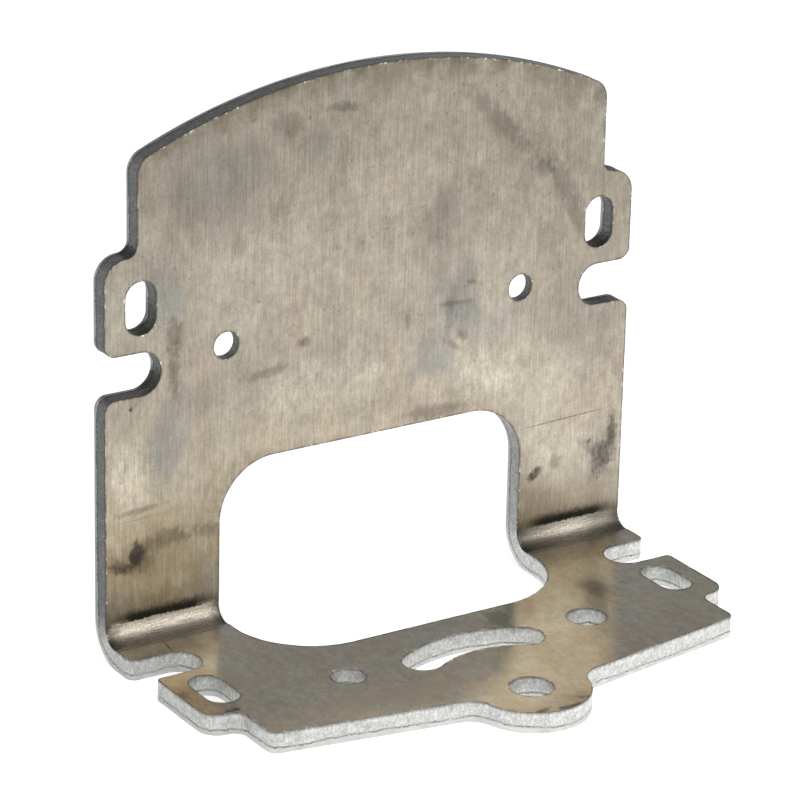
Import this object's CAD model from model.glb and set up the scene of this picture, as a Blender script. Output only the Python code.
"""A stamped steel bracket: one punched blank, folded once, standing on a pale floor.

The blank is drawn flat, as it leaves the press: X runs across it, S runs along it and W goes
through the sheet. S is zero where the flat upright begins, positive up the upright and negative
through the bend and along the foot. W is zero on the inside face and grows to the outside face.
A Geometry Nodes tree then folds it.
"""

import math

import bmesh
import bpy
import numpy as np
from mathutils import Matrix, Vector, noise
from mathutils.geometry import delaunay_2d_cdt


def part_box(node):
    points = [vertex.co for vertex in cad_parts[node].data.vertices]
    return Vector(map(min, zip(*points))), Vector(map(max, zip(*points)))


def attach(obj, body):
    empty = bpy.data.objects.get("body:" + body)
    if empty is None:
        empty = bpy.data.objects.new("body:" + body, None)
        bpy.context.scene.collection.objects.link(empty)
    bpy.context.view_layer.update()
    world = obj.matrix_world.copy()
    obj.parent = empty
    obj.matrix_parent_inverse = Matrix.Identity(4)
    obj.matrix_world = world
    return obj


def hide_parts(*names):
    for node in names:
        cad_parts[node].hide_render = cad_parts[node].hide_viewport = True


bl_info = {
    "name": "Stamped bracket",
    "version": (1, 0, 0),
    "blender": (4, 5, 0),
    "location": "View3D > Sidebar > Bracket",
    "description": "Cuts, folds and finishes a stamped sheet steel bracket",
    "category": "Add Mesh",
}

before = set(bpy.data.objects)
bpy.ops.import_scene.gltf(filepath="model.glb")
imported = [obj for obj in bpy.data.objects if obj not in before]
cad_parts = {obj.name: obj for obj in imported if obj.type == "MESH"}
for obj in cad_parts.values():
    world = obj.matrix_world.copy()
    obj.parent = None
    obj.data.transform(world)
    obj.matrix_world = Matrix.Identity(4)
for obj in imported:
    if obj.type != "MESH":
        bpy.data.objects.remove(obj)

MM = 0.001
NODE = "bracket"
LOW_CORNER, HIGH_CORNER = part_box(NODE)
QUARTER_TURN = math.pi / 2


# ---------------------------------------------------------------- properties


def length(name, description, millimetres):
    """A length property whose default is given in millimetres."""
    return bpy.props.FloatProperty(
        name=name, description=description, default=millimetres * MM, unit="LENGTH", precision=5
    )


def angle(name, description, degrees):
    """An angle property whose default is given in degrees."""
    return bpy.props.FloatProperty(
        name=name, description=description, default=math.radians(degrees), unit="ROTATION"
    )


def share(name, description, default):
    """A plain number property between nothing and all."""
    return bpy.props.FloatProperty(
        name=name, description=description, default=default, min=0, max=1, subtype="FACTOR"
    )


def number(name, description, default):
    """A plain number property with no upper limit."""
    return bpy.props.FloatProperty(name=name, description=description, default=default, min=0)


def colour(name, description, default):
    """A colour property, as linear red, green and blue."""
    return bpy.props.FloatVectorProperty(
        name=name, description=description, default=default, size=3, min=0, max=1, subtype="COLOR"
    )


class BlankSizes(bpy.types.PropertyGroup):
    """Sizes of the bracket. Heights count from the floor, reaches from the inside of the upright."""

    sheet: length("Sheet", "Thickness of the steel", 3.2)
    bend_radius: length("Bend radius", "Inside radius of the fold", 3.0)
    shoulder_width: length("Shoulder width", "Width of the legs and shoulders", 92.0)
    shoulder_height: length("Shoulder height", "Top of the shoulders", 62.3)
    shoulder_corner: length("Shoulder corner", "Outer corner radius of the shoulders", 3.7)
    panel_width: length("Panel width", "Width of the panel above the shoulders", 81.2)
    panel_root: length("Panel root", "Inner corner radius between panel and shoulder", 1.7)
    panel_corner: length("Panel corner", "Radius where the crown meets the panel's sides", 3.3)
    crown_height: length("Crown height", "Top of the crown", 85.3)
    crown_radius: length("Crown radius", "Radius of the crown", 95.5)
    side_notch_height: length("Side notch height", "Lower edge of the side notches", 41.0)
    side_notch_gap: length("Side notch gap", "Height of the side notches", 6.6)
    side_notch_depth: length("Side notch depth", "Depth of the side notches", 9.3)
    side_notch_mouth: length("Side notch mouth", "Radius at the mouth of the side notches", 1.9)
    window_width: length("Window width", "Width of the window", 53.5)
    window_height: length("Window height", "Top of the window", 27.5)
    window_top_radius: length("Window top radius", "Radius of the window's upper corners", 9.2)
    window_reach: length("Window reach", "Front end of the window in the foot", 17.4)
    window_front_radius: length("Window front radius", "Radius of the window's front corners", 12.9)
    shoulder_slot_inset: length("Shoulder slot inset", "From shoulder edge to slot middle", 6.0)
    shoulder_slot_height: length("Shoulder slot height", "Middle of the shoulder slots", 54.4)
    shoulder_slot_width: length("Shoulder slot width", "Width of the shoulder slots", 5.0)
    shoulder_slot_length: length("Shoulder slot length", "Length of the shoulder slots", 8.1)
    screw_spacing: length("Screw spacing", "Between the two countersunk screw holes", 51.6)
    screw_height: length("Screw height", "Middle of the screw holes", 46.2)
    screw_diameter: length("Screw diameter", "Diameter of the screw holes", 4.1)
    countersink_depth: length("Countersink depth", "Depth of the right-angled countersinks", 1.6)
    ear_setback: length("Ear setback", "From each side of the legs in to the ear's side", 0.35)
    ear_reach: length("Ear reach", "Front end of the foot ears", 29.6)
    ear_front_radius: length("Ear front radius", "Front corner radius of the ears", 3.2)
    ear_rear_radius: length("Ear rear radius", "Rear corner radius of the ears", 0.9)
    wing_width: length("Wing width", "Width of the swept wings", 81.0)
    wing_root: length("Wing root", "Inner corner radius between ear and wing", 1.9)
    wing_tip: length("Wing tip", "Front corner radius of the wings", 1.7)
    wing_reach: length("Wing reach", "Where the swept edges would meet in the middle", 44.8)
    wing_sweep: angle("Wing sweep", "How far the front edges are swept back", 9.2)
    foot_notch_reach: length("Foot notch reach", "Rear edge of the foot notches", 7.5)
    foot_notch_gap: length("Foot notch gap", "Width of the foot notches", 6.8)
    foot_notch_depth: length("Foot notch depth", "Depth of the foot notches", 9.5)
    foot_notch_mouth: length("Foot notch mouth", "Radius at the mouth of the foot notches", 1.4)
    pivot_reach: length("Pivot reach", "Middle of the pivot hole", 43.5)
    pivot_diameter: length("Pivot diameter", "Diameter of the pivot hole", 6.4)
    lobe_radius: length("Lobe radius", "Outer radius of the lobe", 8.85)
    lobe_neck: length("Lobe neck", "Inner corner radius between lobe and wings", 3.8)
    guide_radius: length("Guide radius", "Radius of the guide slot round the pivot", 17.5)
    guide_width: length("Guide width", "Width of the guide slot", 6.0)
    guide_turn: angle("Guide turn", "How far the guide slot turns to each side", 30.8)
    foot_slot_inset: length("Foot slot inset", "From ear edge to slot middle", 5.65)
    foot_slot_reach: length("Foot slot reach", "Middle of the foot slots", 21.4)
    foot_slot_width: length("Foot slot width", "Width of the foot slots", 5.1)
    foot_slot_length: length("Foot slot length", "Length of the foot slots", 9.6)
    foot_hole_spacing: length("Foot hole spacing", "Between the two round foot holes", 42.0)
    foot_hole_reach: length("Foot hole reach", "Middle of the round foot holes", 27.3)
    left_hole_diameter: length("Left hole diameter", "Diameter of the left foot hole", 5.1)
    right_hole_diameter: length("Right hole diameter", "Diameter of the right foot hole", 5.9)


class CutEdgeSizes(bpy.types.PropertyGroup):
    """How the punch left the edges of the sheet."""

    step: length("Step", "Spacing of the points along a straight edge", 0.42)
    arc_step: angle("Arc step", "Largest turn between two points of an arc", 6.0)
    roll_depth: length("Roll depth", "How deep into the sheet the outside rim is rolled over", 0.6)
    roll_width: length("Roll width", "How far in from the edge the outside rim is rolled over", 0.05)
    burr: length("Burr", "Height of the burr on the inside rim", 0.03)
    break_share: share("Break share", "Share of the thickness that broke away", 0.74)
    break_wander: share("Break wander", "How far that share wanders along the edge", 0.12)
    recess: length("Recess", "How far the broken part stands back", 0.03)
    groove: length("Groove", "Depth of the groove where the break begins", 0.045)
    roughness: length("Roughness", "Height of the grains in the broken part", 0.02)
    curl: length("Curl", "How far the bend's inside face rolls off at the legs' sides", 0.34)
    curl_width: length("Curl width", "How far in from the side the roll-off reaches", 2.4)


class SteelColours(bpy.types.PropertyGroup):
    """Colours of the sheet and its cut edges."""

    warm: colour("Warm grey", "The upright's main colour", (0.425, 0.37, 0.295))
    grey: colour("Plain grey", "Greyer parts of the upright", (0.40, 0.365, 0.295))
    cool: colour("Cool grey", "Blue-grey patches on the upright", (0.285, 0.28, 0.262))
    dusk: colour("Dusky grey", "Darker clouds on the upright", (0.31, 0.28, 0.235))
    pale: colour("Pale beige", "Rubbed lighter patches", (0.53, 0.485, 0.40))
    tan: colour("Tan", "Brownish parts of the legs", (0.32, 0.262, 0.178))
    brown: colour("Brown", "Brown dirt under the crown and above the bend", (0.14, 0.108, 0.07))
    smudge: colour("Smudge", "Dark handling marks", (0.075, 0.066, 0.054))
    foot: colour("Foot grey", "The foot's neutral grey", (0.44, 0.425, 0.36))
    foot_warm: colour("Foot warm", "Warmer parts of the foot", (0.45, 0.385, 0.295))
    bend_dark: colour("Bend dark", "Dark tool mark at the top of the bend", (0.022, 0.02, 0.018))
    bend_bright: colour("Bend bright", "Burnished part of the bend", (0.5, 0.45, 0.37))
    broken: colour("Broken edge", "Grainy part of the foot's cut edges", (0.64, 0.645, 0.62))
    broken_dark: colour("Broken edge, dark", "Grainy part of the upright's edges", (0.22, 0.23, 0.225))
    sheared: colour("Sheared edge", "Smooth part of the foot's cut edges", (0.6, 0.61, 0.59))
    sheared_dark: colour("Sheared edge, dark", "Smooth part of the upright's edges", (0.42, 0.43, 0.42))
    chip: colour("Chip", "Bright chips on rims and grains", (0.85, 0.85, 0.83))
    crack: colour("Crack", "Line between the grainy and the smooth part", (0.07, 0.068, 0.062))


class StageSizes(bpy.types.PropertyGroup):
    """The camera, the lamps and the floor."""

    azimuth: angle("Azimuth", "How far left of straight ahead the camera stands", 33.02)
    elevation: angle("Elevation", "How far the camera looks down", 21.18)
    roll: angle("Roll", "How far the camera is turned about its own axis", 1.33)
    distance: length("Distance", "From the camera to the point that it looks at", 599.0)
    lens: number("Lens", "Focal length in millimetres", 182.98)
    target_x: length("Target X", "Sideways place of the point looked at", -1.99)
    target_inset: length("Target inset", "How far in front of the upright that point is", 10.0)
    target_height: length("Target height", "Height of that point", 36.54)
    floor_size: length("Floor size", "Side of the square floor", 6000.0)
    key_radiance: number("Key radiance", "Brightness of the large soft lamp's face", 3.3)
    fill_radiance: number("Fill radiance", "Brightness of the rear lamp's face", 0.4)
    background: number("Background", "Brightness of the pale background", 1.0)
    ceiling: number("Ceiling", "Brightness of the room overhead", 0.28)


# ---------------------------------------------------------------- the flat blank


def bend_length(size):
    """Length of the bend along the middle of the sheet."""
    return QUARTER_TURN * (size.bend_radius + size.sheet / 2)


def up_to(size, height):
    """Place along the blank of a height on the upright."""
    return height - size.sheet - size.bend_radius


def out_to(size, reach):
    """Place along the blank of a reach on the foot."""
    return -bend_length(size) - (reach - size.bend_radius)


def arc(x, s, radius, start, end):
    """One arc of an outline: its middle, radius, and first and last angle in degrees."""
    return (x, s, radius, math.radians(start), math.radians(end))


def outline_points(arcs, edge):
    """Points of a closed outline that runs along the arcs and straight between them."""
    points = []
    for x, s, radius, start, end in arcs:
        turn = min(edge.arc_step, edge.step / radius)
        count = max(2, math.ceil(abs(end - start) / turn) + 1)
        angles = np.linspace(start, end, count)
        run = np.stack([x + radius * np.cos(angles), s + radius * np.sin(angles)], axis=1)
        points.append(run)
    closed = []
    for index, run in enumerate(points):
        following = points[(index + 1) % len(points)][0]
        gap = np.linalg.norm(following - run[-1])
        closed.append(run)
        count = int(gap // edge.step)
        if count > 1:
            shares = np.arange(1, count)[:, None] / count
            closed.append(run[-1] + shares * (following - run[-1]))
    outline = np.concatenate(closed)
    apart = np.linalg.norm(outline - np.roll(outline, 1, axis=0), axis=1)
    return outline[apart > edge.step * 0.1]


def mirrored(arcs):
    """The arcs of a right-hand half, followed by the same arcs on the left."""
    left = [(-x, s, radius, math.pi - end, math.pi - start) for x, s, radius, start, end in arcs]
    return list(arcs) + left[::-1]


def outer_outline(size):
    """Arcs round the blank, clockwise from the middle of the crown."""
    half_panel = size.panel_width / 2
    half_shoulder = size.shoulder_width / 2
    half_ear = half_shoulder - size.ear_setback
    half_wing = size.wing_width / 2
    shoulder_top = up_to(size, size.shoulder_height)

    crown_middle = up_to(size, size.crown_height) - size.crown_radius
    corner_x = half_panel - size.panel_corner
    corner_s = crown_middle + math.sqrt((size.crown_radius - size.panel_corner) ** 2 - corner_x**2)
    corner_angle = math.degrees(math.atan2(corner_s - crown_middle, corner_x))

    notch_radius = size.side_notch_gap / 2
    notch_middle = up_to(size, size.side_notch_height) + notch_radius
    notch_x = half_shoulder - size.side_notch_depth + notch_radius
    mouth_x = half_shoulder - size.side_notch_mouth
    mouth_rise = notch_radius + size.side_notch_mouth

    foot_notch_radius = size.foot_notch_gap / 2
    foot_notch_middle = out_to(size, size.foot_notch_reach) - foot_notch_radius
    foot_notch_x = half_shoulder - size.foot_notch_depth + foot_notch_radius
    ear_front = out_to(size, size.ear_reach)

    sweep = size.wing_sweep
    tip_reach = size.wing_reach - half_wing * math.tan(sweep)
    tip_x = half_wing - size.wing_tip
    tip_back = size.wing_tip / math.cos(sweep) - size.wing_tip * math.tan(sweep)
    tip_s = out_to(size, tip_reach) + tip_back
    sweep_angle = math.degrees(sweep)

    pivot_s = out_to(size, size.pivot_reach)
    meet_s = out_to(size, size.wing_reach)
    neck_rise = meet_s - size.lobe_neck / math.cos(sweep) - pivot_s
    slope = math.tan(sweep)
    reach = size.lobe_radius + size.lobe_neck
    a, b, c = 1 + slope**2, 2 * slope * neck_rise, neck_rise**2 - reach**2
    neck_x = (-b + math.sqrt(b**2 - 4 * a * c)) / (2 * a)
    neck_s = pivot_s + neck_rise + slope * neck_x
    neck_angle = math.degrees(math.atan2(pivot_s - neck_s, -neck_x)) % 360
    lobe_angle = neck_angle - 180

    half = [
        arc(0, crown_middle, size.crown_radius, 90, corner_angle),
        arc(corner_x, corner_s, size.panel_corner, corner_angle, 0),
        arc(half_panel + size.panel_root, shoulder_top + size.panel_root, size.panel_root, 180, 270),
        arc(
            half_shoulder - size.shoulder_corner,
            shoulder_top - size.shoulder_corner,
            size.shoulder_corner,
            90,
            0,
        ),
        arc(mouth_x, notch_middle + mouth_rise, size.side_notch_mouth, 0, -90),
        arc(notch_x, notch_middle, notch_radius, 90, 270),
        arc(mouth_x, notch_middle - mouth_rise, size.side_notch_mouth, 90, 0),
        arc(
            half_shoulder - size.foot_notch_mouth,
            foot_notch_middle + foot_notch_radius + size.foot_notch_mouth,
            size.foot_notch_mouth,
            0,
            -90,
        ),
        arc(foot_notch_x, foot_notch_middle, foot_notch_radius, 90, 270),
        arc(
            half_ear - size.ear_rear_radius,
            foot_notch_middle - foot_notch_radius - size.ear_rear_radius,
            size.ear_rear_radius,
            90,
            0,
        ),
        arc(
            half_ear - size.ear_front_radius,
            ear_front + size.ear_front_radius,
            size.ear_front_radius,
            0,
            -90,
        ),
        arc(half_wing + size.wing_root, ear_front - size.wing_root, size.wing_root, 90, 180),
        arc(tip_x, tip_s, size.wing_tip, 0, -90 + sweep_angle),
        arc(neck_x, neck_s, size.lobe_neck, 90 + sweep_angle, neck_angle),
        arc(0, pivot_s, size.lobe_radius, lobe_angle, -90),
    ]
    return mirrored(half)


def round_hole(x, s, diameter):
    """A circle, as one arc."""
    return [arc(x, s, diameter / 2, 0, 360)]


def upright_slot(x, s, width, slot_length):
    """A round-ended slot along the blank."""
    half = (slot_length - width) / 2
    return [arc(x, s + half, width / 2, 0, 180), arc(x, s - half, width / 2, 180, 360)]


def window(size):
    """The window, from the upright through the bend into the foot."""
    half = size.window_width / 2
    top = size.window_top_radius
    front = size.window_front_radius
    return mirrored(
        [
            arc(half - top, up_to(size, size.window_height) - top, top, 90, 0),
            arc(half - front, out_to(size, size.window_reach) + front, front, 0, -90),
        ]
    )


def guide_slot(size):
    """The curved slot round the pivot hole."""
    pivot_s = out_to(size, size.pivot_reach)
    half = size.guide_width / 2
    left = 90 + math.degrees(size.guide_turn)
    right = 90 - math.degrees(size.guide_turn)
    ends = []
    for turn in (left, right):
        place = math.radians(turn)
        ends.append((size.guide_radius * math.cos(place), pivot_s + size.guide_radius * math.sin(place)))
    return [
        arc(0, pivot_s, size.guide_radius + half, left, right),
        arc(*ends[1], half, right, right - 180),
        arc(0, pivot_s, size.guide_radius - half, right, left),
        arc(*ends[0], half, left + 180, left),
    ]


def blank_outlines(size):
    """Every closed outline of the blank: the outside first, then the cut-outs."""
    outlines = {"outside": outer_outline(size), "window": window(size), "guide_slot": guide_slot(size)}
    outlines["pivot_hole"] = round_hole(0, out_to(size, size.pivot_reach), size.pivot_diameter)
    slot_x = size.shoulder_width / 2 - size.shoulder_slot_inset
    foot_slot_x = size.shoulder_width / 2 - size.ear_setback - size.foot_slot_inset
    foot_holes = {-1: size.left_hole_diameter, 1: size.right_hole_diameter}
    for side, name in ((-1, "left"), (1, "right")):
        outlines["shoulder_slot_" + name] = upright_slot(
            side * slot_x,
            up_to(size, size.shoulder_slot_height),
            size.shoulder_slot_width,
            size.shoulder_slot_length,
        )
        outlines["foot_slot_" + name] = upright_slot(
            side * foot_slot_x,
            out_to(size, size.foot_slot_reach),
            size.foot_slot_width,
            size.foot_slot_length,
        )
        outlines["screw_hole_" + name] = round_hole(
            side * size.screw_spacing / 2, up_to(size, size.screw_height), size.screw_diameter
        )
        outlines["foot_hole_" + name] = round_hole(
            side * size.foot_hole_spacing / 2, out_to(size, size.foot_hole_reach), foot_holes[side]
        )
    return outlines


def with_bend_rows(points, rows):
    """The outline with its points in the bend exactly on the bend's rows."""
    outside = (points[:, 1] < rows[0] - 1e-9) | (points[:, 1] > rows[-1] + 1e-9)
    kept = points[outside]
    result = []
    for index, point in enumerate(kept):
        following = kept[(index + 1) % len(kept)]
        result.append(point)
        low, high = sorted((point[1], following[1]))
        crossed = [row for row in rows if low < row < high]
        if following[1] < point[1]:
            crossed.reverse()
        for row in crossed:
            share_along = (row - point[1]) / (following[1] - point[1])
            result.append([point[0] + share_along * (following[0] - point[0]), row])
    return np.array(result)


def steel_on_left(points, is_outside):
    """The outline, turned so that the steel lies on the left of its direction."""
    following = np.roll(points, -1, axis=0)
    area = np.sum(points[:, 0] * following[:, 1] - following[:, 0] * points[:, 1])
    return points if (area > 0) == is_outside else points[::-1]


def away_from_steel(points):
    """Direction from each point of the outline out into the air."""
    along = np.roll(points, -1, axis=0) - np.roll(points, 1, axis=0)
    along /= np.linalg.norm(along, axis=1)[:, None]
    return np.stack([along[:, 1], -along[:, 0]], axis=1)


def wander(points, spacing, seed):
    """Smooth noise between about -1 and 1, that changes over the spacing."""
    return np.array([noise.noise(Vector((x / spacing, s / spacing, seed))) for x, s in points])


def in_bend(size, s):
    """Zero outside the bend, rising to one in its middle."""
    turned = np.clip(-s / bend_length(size), 0, 1)
    return np.sin(math.pi * turned)


# ---------------------------------------------------------------- cut edges

# How far the flat faces' outer ring of corners stands in from the edge
RING = 0.45 * MM
# Size of the small chamfer at the inside rim, and half the width of the groove at the break
RIM = 0.06 * MM
GROOVE_HALF = 0.05 * MM
# Shares of the sheet between which the break stays
CRACK_LIMITS = (0.45, 0.9)
BREAK_ROWS = 7
SHEARED_ROWS = 2
ROLL_ROWS = 7
CONE_ROWS = 6


def punched_rows(size, edge, points):
    """Rows of a punched wall: pairs of depth below the inside face and offset into the air."""
    zeros = np.zeros(len(points))
    drift = 0.75 * wander(points, 9 * MM, 1.5) + 0.5 * wander(points, 2.2 * MM, 4.5)
    drift += 0.3 * wander(points, 0.9 * MM, 8.5)
    crack = size.sheet * np.clip(edge.break_share + edge.break_wander * drift, *CRACK_LIMITS)
    lip = edge.burr * np.clip(0.3 + 1.4 * wander(points, 1.3 * MM, 12.5), 0, 1)
    rows = [
        (zeros, zeros - RING),
        (zeros, zeros - RIM),
        (-lip, zeros - RIM / 2),
        (zeros + RIM, zeros - RIM * 0.2),
    ]
    for index in range(1, BREAK_ROWS + 1):
        part = index / (BREAK_ROWS + 1)
        depth = RIM + part * (crack - GROOVE_HALF - RIM)
        grain = wander(points + 5 * index * MM, 0.7 * MM, 20.5 + index)
        rows.append((depth, -edge.recess * math.sqrt(part) - edge.roughness * (1 + grain)))
    rows.append((crack - GROOVE_HALF, zeros - edge.recess - edge.roughness))
    rows.append((crack, -edge.groove * (1 + 0.5 * wander(points, 1.1 * MM, 40.5))))
    rows.append((crack + GROOVE_HALF, zeros - edge.recess * 0.2))
    start, end = crack + GROOVE_HALF, size.sheet - edge.roll_depth
    for index in range(1, SHEARED_ROWS + 1):
        depth = start + index / SHEARED_ROWS * np.maximum(end - start, 0)
        rows.append((depth, zeros))
    top = rows[-1][0]
    for turn in np.linspace(0, QUARTER_TURN, ROLL_ROWS + 1)[1:]:
        depth = top + (size.sheet - top) * math.sin(turn)
        rows.append((depth, zeros - edge.roll_width * (1 - math.cos(turn))))
    rows.append((zeros + size.sheet, zeros - edge.roll_width - RING))
    return rows, crack


def countersunk_rows(size, points):
    """Rows of a drilled screw hole that opens in a cone on the outside face."""
    zeros = np.zeros(len(points))
    land = size.sheet - size.countersink_depth
    rows = [(zeros, zeros - RING), (zeros, zeros - RIM), (zeros + RIM, zeros)]
    rows += [(zeros + land * part, zeros) for part in (0.35, 0.7, 1)]
    for index in range(1, CONE_ROWS + 1):
        part = index / CONE_ROWS
        rows.append((zeros + land + part * size.countersink_depth, zeros - part * size.countersink_depth))
    rows.append((zeros + size.sheet, zeros - size.countersink_depth - RING))
    return rows, zeros + land


class Blank:
    """Gathers the corners and faces of the flat blank."""

    def __init__(self):
        self.corners = []
        self.past_crack = []
        self.rim = []
        self.faces = []
        self.along = []
        self.is_cut = []
        self.count = 0

    def add_corners(self, x, depth, s, past_crack, rim):
        """Adds corners and returns the number of the first one."""
        first = self.count
        self.corners.append(np.stack([x, depth, s], axis=1))
        self.past_crack.append(past_crack)
        self.rim.append(np.full(len(x), rim))
        self.count += len(x)
        return first

    def add_faces(self, faces, along, is_cut):
        """Adds faces with the distance along the cut edge at each of their corners."""
        self.faces.extend(faces.tolist())
        self.along.append(along.ravel())
        self.is_cut.extend(is_cut)


def sink_at_sides(size, edge, s, depth, from_side):
    """Depth once the inside face is rolled off near the sides of the bend."""
    near_side = np.clip(1 - from_side / edge.curl_width, 0, 1) ** 2
    through = np.clip(1 - depth / size.sheet, 0, 1)
    return depth + edge.curl * in_bend(size, s) * near_side * through


def add_wall(blank, size, edge, points, rows, crack):
    """Adds one closed wall, and returns the first corners of its inside and outside rings."""
    outward = away_from_steel(points)
    steps = np.linalg.norm(np.roll(points, -1, axis=0) - points, axis=1)
    start = np.concatenate([[0], np.cumsum(steps)])
    count = len(points)
    firsts = []
    last_row = len(rows) - 2
    for index, (depth, offset) in enumerate(rows):
        place = points + outward * offset[:, None]
        depth = sink_at_sides(size, edge, place[:, 1], depth, -offset)
        rim = 1.0 if 0 < index <= last_row else 0.0
        firsts.append(blank.add_corners(place[:, 0], depth, place[:, 1], depth - crack, rim))
    here = np.arange(count)
    there = np.roll(here, -1)
    for index, (low, high) in enumerate(zip(firsts, firsts[1:])):
        faces = np.stack([low + here, high + here, high + there, low + there], axis=1)
        along = np.stack([start[:-1], start[:-1], start[1:], start[1:]], axis=1)
        blank.add_faces(faces, along, [0 < index < last_row] * count)
    return firsts[0], firsts[-1]


# ---------------------------------------------------------------- flat faces


def inside_loops(places, loops):
    """Which places lie in the steel, by counting how often a ray crosses the loops."""
    crossings = np.zeros(len(places), dtype=int)
    for loop in loops:
        start, end = loop, np.roll(loop, -1, axis=0)
        x, s = places[:, 0][:, None], places[:, 1][:, None]
        straddles = (start[:, 1] > s) != (end[:, 1] > s)
        rise = np.where(end[:, 1] == start[:, 1], 1, end[:, 1] - start[:, 1])
        meets = start[:, 0] + (s - start[:, 1]) / rise * (end[:, 0] - start[:, 0])
        crossings += np.sum(straddles & (meets > x), axis=1)
    return crossings % 2 == 1


def leg_columns(size):
    """Places across the right leg, closer together near its sides."""
    inner, outer = size.window_width / 2, size.shoulder_width / 2
    near = np.array([0.95, 1.4, 2.0, 3.0]) * MM
    middle = np.linspace(inner + near[-1], outer - near[-1], 5)[1:-1]
    return np.concatenate([inner + near, middle, outer - near[::-1]])


# Corners of an outline nearer than this to a row of the bend, in metres, lie on it
ON_ROW = 1e-9


def add_bend_grid(blank, size, edge, rings, rows, depth, is_inside):
    """Adds the face of both legs through the bend; returns its first and last row of corners."""
    end_rows = []
    for side in (-1, 1):
        columns = side * leg_columns(size)
        grid = []
        for row in rows:
            chain = []
            for name in ("window", "outside"):
                first, points = rings[name]
                on_row = np.abs(points[:, 1] - row) < ON_ROW
                found = np.nonzero(on_row & (points[:, 0] * side > 0))[0]
                chain.append(first + int(found[0]))
            from_side = np.minimum(
                np.abs(columns) - size.window_width / 2, size.shoulder_width / 2 - np.abs(columns)
            )
            s = np.full(len(columns), row)
            level = sink_at_sides(size, edge, s, np.full(len(columns), depth), from_side)
            new = blank.add_corners(columns, level, s, level, 0.0)
            grid.append([chain[0], *range(new, new + len(columns)), chain[1]])
        grid = np.array(grid)
        a, b, c, d = grid[:-1, :-1], grid[:-1, 1:], grid[1:, 1:], grid[1:, :-1]
        quads = np.stack([a, b, c, d], axis=-1).reshape(-1, 4)
        if (side > 0) != is_inside:
            quads = quads[:, ::-1]
        blank.add_faces(quads, np.zeros(quads.shape), [False] * len(quads))
        end_rows += [grid[0], grid[-1]]
    return end_rows


def add_flat_faces(blank, loops, chains, rows, is_inside):
    """Fills the face between the rings, outside the bend, with triangles."""
    corners = np.concatenate(blank.corners)
    numbers, edges = [], []
    for first, points in loops:
        start = len(numbers)
        numbers += range(first, first + len(points))
        edges += [(start + i, start + (i + 1) % len(points)) for i in range(len(points))]
    place_of = {number: place for place, number in enumerate(numbers)}
    for chain in chains:
        for number in chain:
            if int(number) not in place_of:
                place_of[int(number)] = len(numbers)
                numbers.append(int(number))
        edges += [(place_of[int(a)], place_of[int(b)]) for a, b in zip(chain, chain[1:])]
    places = corners[numbers][:, [0, 2]]
    spread = [Vector(place) for place in (places / MM).tolist()]
    made = delaunay_2d_cdt(spread, edges, [], 0, 1e-6, True)
    source = np.array([ids[0] for ids in made[3]])
    triangles = source[np.array(made[2])]
    middle = places[triangles].mean(axis=1)
    flat = (middle[:, 1] < rows[0]) | (middle[:, 1] > rows[-1])
    keep = flat & inside_loops(middle, [corners[f : f + len(p)][:, [0, 2]] for f, p in loops])
    triangles = triangles[keep]
    a, b, c = (places[triangles[:, i]] for i in range(3))
    turn = (b - a)[:, 0] * (c - a)[:, 1] - (b - a)[:, 1] * (c - a)[:, 0]
    clockwise = turn < 0
    triangles[clockwise] = triangles[clockwise][:, ::-1]
    if not is_inside:
        triangles = triangles[:, ::-1]
    faces = np.array(numbers)[triangles]
    blank.add_faces(faces, np.zeros(faces.shape), [False] * len(faces))


BEND_ROWS = 27


def draw_blank(size, edge):
    """The whole blank, laid flat, with its cut edges."""
    rows = np.linspace(-bend_length(size), 0, BEND_ROWS)
    blank = Blank()
    inside, outside = {}, {}
    for name, arcs in blank_outlines(size).items():
        points = outline_points(arcs, edge)
        if name in ("outside", "window"):
            points = with_bend_rows(points, rows)
        points = steel_on_left(points, name == "outside")
        if name.startswith("screw_hole"):
            profile, crack = countersunk_rows(size, points)
        else:
            profile, crack = punched_rows(size, edge, points)
        low, high = add_wall(blank, size, edge, points, profile, crack)
        inside[name] = (low, points)
        outside[name] = (high, points)
    for rings, depth, is_inside in ((inside, 0.0, True), (outside, size.sheet, False)):
        chains = add_bend_grid(blank, size, edge, rings, rows, depth, is_inside)
        add_flat_faces(blank, list(rings.values()), chains, rows, is_inside)
    return blank


# Corners nearer than this are one, where the burr dies out
WELD = 0.0001 * MM


def blank_mesh(blank, name):
    """A Blender mesh of the blank, with its place on the sheet in millimetres as a UV map."""
    corners = np.concatenate(blank.corners)
    mesh = bpy.data.meshes.new(name)
    mesh.from_pydata(corners.tolist(), [], blank.faces)
    loop_corner = np.zeros(len(mesh.loops), dtype=np.int32)
    mesh.loops.foreach_get("vertex_index", loop_corner)
    place = corners[loop_corner]
    sheet_map = mesh.uv_layers.new(name="sheet")
    sheet_map.uv.foreach_set("vector", (place[:, [0, 2]] / MM).ravel().astype(np.float32))
    edge_map = mesh.uv_layers.new(name="edge")
    along = np.stack([np.concatenate(blank.along), place[:, 1]], axis=1) / MM
    edge_map.uv.foreach_set("vector", along.ravel().astype(np.float32))
    for attribute, values in (
        ("past_crack", np.concatenate(blank.past_crack) / MM),
        ("rim", np.concatenate(blank.rim)),
        ("outside", corners[:, 1] > corners[:, 1].max() / 2),
    ):
        made = mesh.attributes.new(attribute, "FLOAT", "POINT")
        made.data.foreach_set("value", values.astype(np.float32))
    cut = mesh.attributes.new("cut", "BOOLEAN", "FACE")
    cut.data.foreach_set("value", np.array(blank.is_cut, dtype=bool))
    shell = bmesh.new()
    shell.from_mesh(mesh)
    bmesh.ops.remove_doubles(shell, verts=shell.verts, dist=WELD)
    shell.to_mesh(mesh)
    shell.free()
    mesh.shade_smooth()
    return mesh


# ---------------------------------------------------------------- node helpers


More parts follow.
